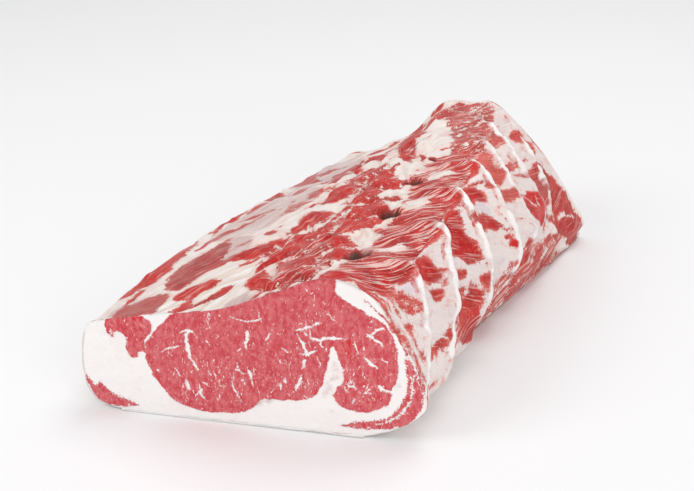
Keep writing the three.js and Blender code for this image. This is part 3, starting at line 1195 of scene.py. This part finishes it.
@dataclass(frozen=True)
class OutsideFinish(MeatFinish):
    """The outside: torn lean with strands, rind, membranes in the rib beds and the ridges' crests."""

    name: str = "meat_outside"
    border: tuple = (-0.6, 0.7)

    def fibres(self, t: Tree, blotches: list) -> tuple:
        """Broad streaks and thin strands along the fibres, level where two directions meet.

        Args:
            t: the nodes.
            blotches: the three sizes of blotch.

        Returns:
            The streaks and the strands.
        """
        thread, calm = t.attribute("thread", vector=True), t.attribute("calm")
        both = []
        for scale, detail, rough in FIBRES:
            wave = t.noise(t.scale(thread, scale), 1.0, detail, rough)
            both.append(t.times_plus(t.math("SUBTRACT", wave, 0.5), calm, 0.5))
        return tuple(both)

    def ragged(self, t: Tree, n: Patterns) -> Socket:
        """How the borders of the lean wander, more along the fibres where it is sinewy."""
        crumbs = t.times_plus(t.spread(n.crumb), 0.4, t.times(t.spread(n.soft), 0.5))
        return t.times_plus(t.spread(n.streak), t.times(t.attribute("sinew"), 0.9), crumbs)

    def red(self, t: Tree, n: Patterns, edge: Socket, place: Socket) -> Socket:
        """Lean with dark and white strands, under a film that thickens towards its borders, with painted
        glints.

        Args:
            t: the nodes.
            n: the noises.
            edge: the distance inside the lean.
            place: the place on the object.

        Returns:
            The colour.
        """
        c, sinew = self.c, t.attribute("sinew")
        filmy = t.times_plus(t.attribute("rib"), 0.4, 0.45)
        filmy = t.times(filmy, t.step(t.attribute("tone"), 1.0, 0.7))
        red = t.mix(t.times(t.step(edge, 4.0, 0.4), filmy), self.toned(t, c.lean), c.film)
        dark = t.times(t.step(n.strand, 0.5, 0.34), t.times_plus(sinew, 0.55, 0.15))
        red = t.mix(dark, red, c.lean_dark)
        white = t.step(t.times_plus(sinew, 0.15, n.strand), 0.65, 0.71)
        red = t.mix(t.times(white, t.times_plus(sinew, 0.85, 0.05)), red, c.fleck)
        red = t.mix(t.times(t.step(n.soft, 0.48, 0.74), 0.48), red, c.film)
        # painted highlights: tiny pale specks on the lean stand in for wet glints of light
        painted_glint = t.times(t.step(t.noise(place, 1.3, 1.0, 0.5), 0.66, 0.72), t.step(n.soft, 0.44, 0.6))
        red = t.mix(t.times(painted_glint, t.times_plus(sinew, 0.8, 0.15)), red, c.rind)
        return t.mix(t.times(t.step(n.wide, 0.48, 0.68), 0.42), red, c.lean_dark)

    def pale(self, t: Tree, n: Patterns, edge: Socket, place: Socket) -> Socket:
        """Rind, pinker by the lean and in streaks, and membrane in the rib beds.

        Args:
            t: the nodes.
            n: the noises.
            edge: the distance inside the lean.
            place: the place on the object.

        Returns:
            The colour.
        """
        c, rib = self.c, t.attribute("rib")
        blotch = t.step(t.noise(place, 0.05, 4.0, 0.6), 0.46, 0.68)
        pale = t.mix(t.times(blotch, 0.55), c.rind, c.fat_pink)
        sinewy = t.times(t.step(n.strand, 0.52, 0.7), t.attribute("sinew"))
        by_lean = t.step(edge, -3.0, 0.0)
        for pink, most in ((t.step(n.streak, 0.5, 0.64), 0.3), (sinewy, 0.6), (by_lean, 0.45)):
            pale = t.mix(t.times(pink, most), pale, c.fat_pink)
        pale = t.mix(t.times(rib, 0.85), pale, c.membrane)
        through = t.step(t.noise(place, 0.11, 4.0, 0.65), 0.5, 0.72)
        pale = t.mix(t.times(through, rib), pale, c.flush)
        film = t.times_plus(t.spread(n.soft), 0.35, t.attribute("clear"))
        return t.mix(t.step(film, 0.1, 1.2), pale, c.clear)

    def lay(self, t: Tree, n: Patterns, edge: Socket, pale: Socket) -> tuple:
        """Tells lean from fat, and lays the crests of the ridges over both.

        Args:
            t: the nodes.
            n: the noises.
            edge: the distance inside the lean.
            pale: the colour of the fat.

        Returns:
            The share of lean, the colour of the fat and the height of the surface.
        """
        softer = t.times_plus(t.attribute("rib"), -0.35, 1.0)
        is_lean = t.step(t.times(edge, softer), *self.border)
        crest, beside = self.crest(t, n)
        is_lean = t.times(is_lean, t.math("SUBTRACT", 1.0, crest))
        is_lean = t.math("MAXIMUM", is_lean, t.times(beside, t.step(n.wide, 0.4, 0.55)))
        height = t.times_plus(n.crumb, 0.5, t.times(n.strand, 1.3))
        height = t.times_plus(crest, 0.4, t.times_plus(n.streak, 1.7, height))
        return is_lean, t.mix(crest, pale, self.c.fat), height

    def crest(self, t: Tree, n: Patterns) -> tuple:
        """The thin white crest of each ridge, and the thread of lean along its near side.

        Args:
            t: the nodes.
            n: the noises.

        Returns:
            The shares of crest and of thread.
        """
        top, ridge = t.attribute("top"), t.attribute("ridge")
        past = t.times_plus(t.spread(n.wide), 0.9, t.attribute("past"))
        past = t.times_plus(t.spread(n.soft), 0.25, past)
        away = t.times_plus(top, 0.6, t.math("ABSOLUTE", t.math("ADD", past, 0.8)))
        away = t.times_plus(t.spread(t.noise(t.place(), 0.07, 2.0, 0.5)), 2.2, away)
        beside = t.step(t.math("ABSOLUTE", t.math("ADD", past, 4.2)), 1.5, 0.6)
        share = t.times_plus(top, 0.55, t.step(t.spread(n.soft), 0.0, 0.8))
        return t.times(t.step(away, 2.3, 0.5), ridge), t.times(t.times(beside, share), ridge)


# ---------------------------------------------------------------- the roast

CORNER_AT = (110, 82)  # the near corner by the ribs, (x, z)
CORNER_HALF = (36, 32)
CORNER_BACK = 14.0
CORNER_BEVEL = 10.5
CORNER_TOWARDS = (0.75, 0.66)
SCRAPS = ((7, 26, 0, 8), (3, 11, 4.5, 4))  # across, along, shift and depth of both sizes of scrap
CUT_WANDER = (0.7, 0.5)  # how far outlines wander, and how ragged they are where no patch says
SKIN_WANDER = (1.9, 1.4)
FAR_SHIFT = 20.0  # the far cut repeats the near one, moved and stretched
FAR_STRETCH = (1.02, 0.98)


@dataclass
class Cells:
    """The block's vertices on the form: their places, and how the maps name them."""

    places: np.ndarray
    a: np.ndarray
    l: np.ndarray
    near: np.ndarray
    far: np.ndarray
    outer: np.ndarray
    low: np.ndarray
    at_shoulder: np.ndarray
    to_rim: np.ndarray

    @property
    def skin(self) -> np.ndarray:
        """Which vertices are on the outside and not on a cut face."""
        return self.outer & ~self.near & ~self.far

    @property
    def rims(self) -> np.ndarray:
        """Which vertices are on the rim of a cut face."""
        return self.outer & (self.near | self.far)


@dataclass(frozen=True)
class Relief:
    """How deep the relief is, and where it lies on the outside."""

    bed_depth: float = 7.5
    bed_from_shoulder: tuple = (-38, -20, -8, 0, 14, 78, 96, 118)
    bed_share: tuple = (0, 0.35, 0.9, 1.15, 1.1, 1, 0.6, 0.15)
    level_at: tuple = (68, 284)
    level_half: tuple = (26, 34)
    press: float = 8.0
    trim: float = 1.8
    lump: float = 1.6
    strand: float = 0.9
    bundle_seam: float = 3.2
    bundle_swell: float = 1.4
    lean_sunk: float = 0.5
    bulge_share: float = 0.55
    crest: float = 2.4
    crest_at_shoulder: float = 1.0
    crest_half: float = 4.0
    pits: tuple = ((-37, 56, 9, 13), (-42, 140, 8, 12), (-39, 204, 6.5, 10), (-34, 256, 4, 5))
    pit_depth: float = 8.5
    pit_ragged: float = 0.26
    rim: float = 2.0
    rim_rough: float = 1.4
    rim_round: float = 1.6
    cut_face: float = 0.5
    cut_fat: float = 0.55
    cut_rough: float = 0.35


@dataclass
class Roast:
    """The piece of meat: one closed mesh, its tissues in vertex fields."""

    form: Form
    relief: Relief = Relief()
    across: int = 64
    up: int = 34
    back: int = 110
    piece: bpy.types.Object = field(init=False)
    cells: Cells = field(init=False)
    fields: Fields = field(init=False)

    def build(self, lowest: tuple, highest: tuple) -> None:
        """Makes the mesh and sets it in the frame.

        Args:
            lowest: the lowest corner of the solid's box, in metres.
            highest: its highest corner.
        """
        self.cells = self._cells(self._block())
        self.fields = Fields(len(self.cells.places))
        self._shape()
        self._tissues()
        normals = np.empty(len(self.cells.places) * 3)
        self.piece.data.vertex_normals.foreach_get("vector", normals)
        self.cells.places -= normals.reshape(-1, 3) * self._sink()[:, None]
        self.cells.places[:, 2] = np.maximum(self.cells.places[:, 2], 0)
        self._place(lowest, highest)
        log.info("%s: %d vertices", self.piece.name, len(self.piece.data.vertices))

    def _block(self) -> np.ndarray:
        """A closed unit block of cells, by extruding an upright grid.

        Returns:
            (n, 3) the vertices in the block, 0 to 1 across, back and up.
        """
        bpy.ops.mesh.primitive_grid_add(
            x_subdivisions=self.across, y_subdivisions=self.up, size=1, rotation=(math.pi / 2, 0, 0)
        )
        self.piece = bpy.context.object
        self.piece.name = self.piece.data.name = "roast_meat"
        bpy.ops.object.transform_apply(location=True, rotation=True, scale=True)
        bpy.ops.object.mode_set(mode="EDIT")
        bpy.ops.mesh.select_all(action="SELECT")
        for _ in range(self.back):
            bpy.ops.mesh.extrude_region_move(
                TRANSFORM_OT_translate={"value": (0, 1 / self.back, 0)}
            )
        bpy.ops.mesh.select_all(action="SELECT")
        bpy.ops.mesh.normals_make_consistent(inside=False)
        self._subdivide(lambda c: (c[:, 1] < TINY) | (c[:, 2] > 0.4999) | (c[:, 0] > 0.4999))
        self._subdivide(lambda c: c[:, 1] < TINY)
        bpy.ops.object.mode_set(mode="OBJECT")
        mesh = self.piece.data
        flat = np.empty(len(mesh.vertices) * 3)
        mesh.vertices.foreach_get("co", flat)
        return flat.reshape(-1, 3) + (0.5, 0, 0.5)

    def _subdivide(self, chosen: Callable) -> None:
        """Halves the cells whose middles are chosen.

        Args:
            chosen: takes (n, 3) middles and gives (n,) booleans.
        """
        bpy.ops.object.mode_set(mode="OBJECT")
        mesh = self.piece.data
        middles = np.empty(len(mesh.polygons) * 3)
        mesh.polygons.foreach_get("center", middles)
        flags = chosen(middles.reshape(-1, 3))
        for items in (mesh.vertices, mesh.edges):
            items.foreach_set("select", np.zeros(len(items), bool))
        mesh.polygons.foreach_set("select", flags)
        bpy.ops.object.mode_set(mode="EDIT")
        bpy.ops.mesh.select_mode(type="FACE")
        bpy.ops.mesh.subdivide(number_cuts=1)

    def _cells(self, block: np.ndarray) -> Cells:
        """Maps the block's vertices onto the form.

        Args:
            block: (n, 3) the vertices in the block.

        Returns:
            The places of the vertices and how the maps name them.
        """
        form, (p, q, r) = self.form, np.clip(block.T, 0, 1)
        levels, at = np.unique(np.round(q, 6), return_inverse=True)
        lines, lengths = zip(*(form.sides(v) for v in levels))
        lines, lengths = np.array(lines), np.array(lengths)
        (left_end, right_end), (near, far), (low_end, high_end) = (
            (part < TINY, part > 1 - TINY) for part in (p, q, r)
        )

        def on_side(side: int, s: np.ndarray) -> np.ndarray:
            """Places on one side of the section.

            Args:
                side: the side's number.
                s: (n,) how far along it, 0 to 1.

            Returns:
                (n, 2) places.
            """
            f = s * (form.samples - 1)
            i = np.minimum(f.astype(int), form.samples - 2)
            f = (f - i)[:, None]
            return (1 - f) * lines[at, side, i] + f * lines[at, side, i + 1]

        low, right, high, left = (on_side(k, s) for k, s in enumerate((p, r, p, r)))
        ends = ((0, 0.0), (0, 1.0), (2, 0.0), (2, 1.0))
        corners = [on_side(side, np.full(len(p), end)) for side, end in ends]
        pc, rc = p[:, None], r[:, None]
        middle = (
            (1 - rc) * low + rc * high + (1 - pc) * left + pc * right
            - (1 - rc) * ((1 - pc) * corners[0] + pc * corners[1])
            - rc * ((1 - pc) * corners[2] + pc * corners[3])
        )  # fmt: skip
        base, rib_side, upper, edge = lengths[at].T
        a = np.where(high_end, -(1 - p) * upper, 0.0)
        a = np.where(right_end, (1 - r) * rib_side, a)
        a = np.where(left_end & ~high_end, -upper - (1 - r) * edge, a)
        a = np.where(low_end & ~right_end, rib_side + (1 - p) * base, a)
        l = q * form.length
        y = l + form.near_cut_slant * (1 - q) * middle[:, 0]
        shoulder = np.array([form.along(v, form.shoulder_z) for v in levels])[at]
        drop = np.where(a > 0, np.maximum(shoulder - middle[:, 1], 0), 0)
        return Cells(
            places=np.stack([middle[:, 0], y, middle[:, 1]], axis=1), a=a, l=l, near=near, far=far,
            outer=low_end | high_end | left_end | right_end, low=low_end,
            at_shoulder=l + form.ridge_lean * drop,
            to_rim=np.minimum(np.minimum(p, 1 - p) * upper, np.minimum(r, 1 - r) * (rib_side + edge) / 2),
        )  # fmt: skip

    def _shape(self) -> None:
        """Moves the vertices onto the form, with the near corner by the ribs bevelled."""
        places = self.cells.places
        off = (places[:, ::2] - CORNER_AT) / CORNER_HALF
        bevel = CORNER_BEVEL * np.exp(-(off**2).sum(axis=1) - self.cells.l / CORNER_BACK)
        places[:, ::2] -= bevel[:, None] * CORNER_TOWARDS
        self.piece.data.vertices.foreach_set("co", places.ravel())
        self.piece.data.update()

    def _tissues(self) -> None:
        """Lays the tissues on the cut faces and on the outside."""
        cells, x, z = self.cells, self.cells.places[:, 0], self.cells.places[:, 2]
        near = np.flatnonzero(cells.near)
        self.fields.lay(near, np.stack([x, z], 1)[near], CUT_PATCHES, SEAMS, *CUT_WANDER)
        far = np.flatnonzero(cells.far)
        spots = np.stack([x[far] - FAR_SHIFT, z[far]], 1) * FAR_STRETCH
        veins = tuple(seam for seam in SEAMS if seam.tissue is Tissue.FAT)
        self.fields.lay(far, spots, CUT_PATCHES[:3], veins[3:-1:2], *CUT_WANDER)
        skin = np.flatnonzero(cells.skin)
        spots = np.stack([cells.a, cells.l], 1)
        self._thread(spots)
        self.fields.lean[skin] = self._scraps(self.fields.thread[skin], spots[skin, 0])
        self.fields.lay(skin, spots[skin], UPPER_PATCHES + RIB_PATCHES, RIB_STROKES, *SKIN_WANDER)
        base = cells.low & cells.skin & (z < 1)
        self.fields.lean[base] = np.minimum(self.fields.lean[base], -3)

    @staticmethod
    def _scraps(thread: np.ndarray, a: np.ndarray) -> np.ndarray:
        """Scraps of lean left on the fat, drawn out along the fibres.

        Args:
            thread: (n, 3) places across and along the fibres.
            a: (n,) places round the roast.

        Returns:
            (n,) distances inside the lean.
        """
        (u, v, w), scraps = thread.T, 0
        for k, (across, along, shift, depth) in enumerate(SCRAPS):
            drawn = np.stack([u / across, v / along, w + shift], 1)
            scraps = scraps + depth * Grain(SEED + 1 + k).at(drawn)
        trimmed = ramp(-200, -188, a) * ramp(112, 98, a)
        fewer = 3.0 * ramp(-6, 6, a) * ramp(90, 70, a) - 1.8 * ramp(-124, -112, a) * ramp(-34, -44, a)
        return np.minimum(-2.8 - fewer + scraps, 2.5) * trimmed + PLAIN_FAT * (1 - trimmed)

    def _thread(self, spots: np.ndarray) -> None:
        """Finds the places across and along the fibres, and where their direction changes.

        Args:
            spots: (n, 2) places (a, l).
        """
        grain = Grain(SEED + 3)
        wander = grain.at(lifted(spots) / 14)
        across, along, calm = (np.full(len(spots), v) for v in (0.0, 0.0, 1.0))
        for chart in CHARTS:
            sine, cosine = math.sin(math.radians(chart.angle)), math.cos(math.radians(chart.angle))
            past, back = spots[:, 0] - chart.start, spots[:, 1]
            inside = past + 5 * wander
            calm *= ramp(2.2, 5.0, np.abs(inside))
            across = np.where(inside > 0, back * cosine - past * sine, across)
            along = np.where(inside > 0, back * sine + past * cosine, along)
        across += 2.2 * grain.at(lifted(spots) / 24 + 7)
        drift = 0.022 * (spots[:, 0] + 0.8 * spots[:, 1])
        self.fields.thread[:] = np.stack([across, along, drift], axis=1)
        self.fields.calm[:] = calm

    def _sink(self) -> np.ndarray:
        """How far each vertex is pressed in, along its normal.

        Returns:
            (n,) depths in millimetres.
        """
        cells, k, grain = self.cells, self.relief, Grain(SEED)
        ends = ramp(0, 9, cells.l) * ramp(0, 9, self.form.length - cells.l)
        upper = ramp(-208, -195, cells.a) * ramp(135, 110, cells.a)
        lumps = grain.at(cells.places / 17) + 0.5 * grain.at(cells.places / 8 + 5)
        sink = self._beds(ends)
        sink += upper * ends * (k.trim + k.lump * lumps)
        sink += self._flesh(upper, ends, grain)
        sink += self._pits(lumps)
        face = k.cut_fat * ramp(0.6, -1.0, self.fields.lean) + k.cut_rough * grain.at(cells.places / 6)
        face += k.cut_face + k.rim_round * np.exp(-cells.to_rim / 2.0)
        face = np.where(cells.near & cells.outer, k.rim + k.rim_rough * lumps, face)
        sink = np.where(cells.near, face, sink + k.rim_round * np.exp(-cells.l / 2.0))
        return np.where((cells.places[:, 2] < 0.5) & ~(cells.near & cells.outer), 0, sink)

    def _beds(self, ends: np.ndarray) -> np.ndarray:
        """The rib beds, the ridges between them and the lower rib side.

        Args:
            ends: 1, falling to 0 at the two cuts.

        Returns:
            (n,) depths.
        """
        cells, f, k = self.cells, self.fields, self.relief
        a, l = cells.a, cells.l
        bed, f.past[:] = self.form.bed(cells.at_shoulder)
        level = np.exp(
            -sum(((at - m) / half) ** 4 for at, m, half in zip((a, l), k.level_at, k.level_half))
        )
        fade = np.clip(12 * np.minimum(l, self.form.length - l) / self.form.length, 0, 1)
        fade *= 1 - 0.9 * level
        sink = k.bed_depth * bed * np.interp(a, k.bed_from_shoulder, k.bed_share) * fade
        sink += k.press * ramp(72, 98, a) * ramp(150, 120, a) * ramp(50, 150, l) * ramp(374, 310, l)
        f.ridge[:] = ramp(-3, 3, a) * ramp(92, 76, a) * cells.skin * ramp(0.7, 0.5, bed) * (1 - level)
        f.top[:] = f.ridge * ramp(38, 24, a) * ramp(1, 5, a)
        f.rib[:] = ramp(-3, 5, a) * ramp(112, 92, a) * cells.skin
        height = k.crest + k.crest_at_shoulder * ramp(30, 4, a)
        return sink - height * np.exp(-((f.past / k.crest_half) ** 2)) * f.ridge * ends

    def _flesh(self, upper: np.ndarray, ends: np.ndarray, grain: Grain) -> np.ndarray:
        """Strands, bundles with white seams between them, sunken lean and bulging muscles.

        Args:
            upper: 1 over the upper face and the ribs' side, 0 below them.
            ends: 1, falling to 0 at the two cuts.
            grain: the noise of the relief.

        Returns:
            (n,) depths.
        """
        cells, f, k = self.cells, self.fields, self.relief
        u, v, w = f.thread.T
        strands = grain.at(np.stack([u / 4, v / 22, w], 1))
        sink = cells.skin * upper * k.strand * strands * ends * f.calm
        bundles = Grain(SEED + 5).at(np.stack([u / 13, v / 30, w], 1))
        seam = np.abs(bundles + 0.25 * grain.at(cells.places / 6))
        chunky = ramp(-118, -108, cells.a) * ramp(-34, -46, cells.a) * ramp(330, 280, cells.l) * ends
        swell = k.bundle_seam * np.exp(-((seam / 0.2) ** 2)) - k.bundle_swell * ramp(0.1, 0.6, seam)
        sink += cells.skin * chunky * swell
        f.lean = np.where(cells.skin & (chunky > 0.5), np.minimum(f.lean, 22 * seam - 1.0), f.lean)
        sink += cells.skin * upper * ends * k.lean_sunk * ramp(-1.5, 1.5, f.lean)
        return sink - cells.skin * ends * f.bulge * k.bulge_share

    def _pits(self, lumps: np.ndarray) -> np.ndarray:
        """The pits where the rib heads came away, with painted shade inside and lean round them.

        Args:
            lumps: (n,) noise that makes their rims uneven.

        Returns:
            (n,) depths.
        """
        cells, f, k = self.cells, self.fields, self.relief
        sink = np.zeros(len(lumps))
        for a, l, half_a, half_l in k.pits:
            reach = np.hypot((cells.a - a) / half_a, (cells.l - l) / half_l) + k.pit_ragged * lumps
            hole = ramp(1.1, 0.45, reach) * cells.skin
            sink += k.pit_depth * hole
            # painted shade inside each pit's hollow
            f.dark = np.maximum(f.dark, 0.95 * ramp(0.1, 0.5, hole))
            f.calm *= 1 - hole
            f.lean = np.maximum(f.lean, np.where(cells.skin, 9 * (1.12 - reach), PLAIN_FAT))
        return sink

    def _place(self, lowest: tuple, highest: tuple) -> None:
        """Sets the mesh in the frame and writes its fields.

        Args:
            lowest: the lowest corner of the solid's box, in metres.
            highest: its highest corner.
        """
        mesh, form = self.piece.data, self.form
        sides = np.concatenate([form.sides(v)[0].reshape(-1, 2) for v in np.linspace(0, 1, 41)])
        middle_x = (sides[:, 0].min() + sides[:, 0].max()) / 2
        front = form.near_cut_slant * form.sides(0.0)[0][..., 0].min()
        shift = ((lowest[0] + highest[0]) / 2 - middle_x * MM, lowest[1] - front * MM, 0)
        mesh.vertices.foreach_set("co", (self.cells.places * MM + shift).ravel())
        for name in FIELDS:
            layer = mesh.attributes.new(name, "FLOAT", "POINT")
            layer.data.foreach_set("value", getattr(self.fields, name).astype(np.float32))
        layer = mesh.attributes.new("thread", "FLOAT_VECTOR", "POINT")
        layer.data.foreach_set("vector", self.fields.thread.astype(np.float32).ravel())
        mesh.update()

    def dress(self) -> None:
        """Gives the cut faces and the outside their finishes, with a crisp rim between them."""
        mesh, cells = self.piece.data, self.cells
        for finish in (OutsideFinish(), CutFinish()):
            mesh.materials.append(finish.build())
            log.info("finish %s", finish.name)
        cut = cells.near | cells.far
        slots = [int(cut[list(polygon.vertices)].all()) for polygon in mesh.polygons]
        mesh.polygons.foreach_set("material_index", slots)
        mesh.polygons.foreach_set("use_smooth", np.ones(len(mesh.polygons), bool))
        ends = np.empty(len(mesh.edges) * 2, int)
        mesh.edges.foreach_get("vertices", ends)
        mesh.edges.foreach_set("use_edge_sharp", cells.rims[ends.reshape(-1, 2)].all(axis=1))
        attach(self.piece, "root")
        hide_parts("roast")


# ---------------------------------------------------------------- the studio


@dataclass(frozen=True)
class Lamp:
    """A square lamp that faces the roast, in metres and watts."""

    name: str
    at: tuple
    size: float
    power: float
    towards: tuple = (0, 0, 0.05)

    def build(self) -> None:
        """Hangs the lamp."""
        bpy.ops.object.light_add(type="AREA", location=self.at)
        lamp = bpy.context.object
        lamp.name, lamp.data.size, lamp.data.energy = self.name, self.size, self.power
        line = Vector(self.towards) - Vector(self.at)
        lamp.rotation_euler = line.to_track_quat("-Z", "Y").to_euler()


@dataclass(frozen=True)
class Studio:
    """A plain pale floor, soft light and the camera."""

    camera_at: tuple = (0.27504, -0.79933, 0.42975)
    azimuth: float = 20.0
    elevation: float = 24.0
    lens: float = 64.84
    floor_size: float = 12.0
    floor_colour: tuple = colour(244, 244, 245)
    floor_gap: float = 0.0002
    floor_roughness: float = 0.8
    sensor: float = 36.0
    clip: float = 0.01
    sky: float = 0.6
    lamps: tuple = (
        Lamp("key", (-1.2, -1.1, 1.3), 1.0, 10.0),
        Lamp("fill", (1.3, -1.2, 0.8), 1.4, 10.0),
        Lamp("top", (0.2, 0.7, 1.8), 1.2, 11.0),
    )

    def build(self) -> None:
        """Makes the floor, the lamps, the world and the camera."""
        bpy.ops.mesh.primitive_plane_add(size=self.floor_size, location=(0, 0, -self.floor_gap))
        floor = bpy.context.object
        floor.name = "floor"
        tree = Tree("floor")
        tree.shader.inputs["Base Color"].default_value = self.floor_colour
        tree.shader.inputs["Roughness"].default_value = self.floor_roughness
        floor.data.materials.append(tree.material)
        for lamp in self.lamps:
            lamp.build()
        world = bpy.context.scene.world or bpy.data.worlds.new("world")
        bpy.context.scene.world = world
        world.use_nodes = True
        sky = next(n for n in world.node_tree.nodes if n.type == "BACKGROUND")
        sky.inputs["Color"].default_value = (1, 1, 1, 1)
        sky.inputs["Strength"].default_value = self.sky
        bpy.ops.object.camera_add(
            location=self.camera_at,
            rotation=(math.radians(90 - self.elevation), 0, math.radians(self.azimuth)),
        )
        camera = bpy.context.object
        camera.data.lens = self.lens
        camera.data.sensor_width = self.sensor
        camera.data.clip_start = self.clip
        bpy.context.scene.camera = camera
        bpy.context.scene.view_settings.view_transform = "Standard"


def main() -> None:
    """Builds the roast and the studio."""
    logging.basicConfig(level=logging.INFO, format="%(name)s: %(message)s")
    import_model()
    bpy.ops.object.select_all(action="DESELECT")
    lowest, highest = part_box("roast")
    roast = Roast(Form())
    roast.build(lowest, highest)
    roast.dress()
    Studio().build()


if __name__ == "__main__":
    main()
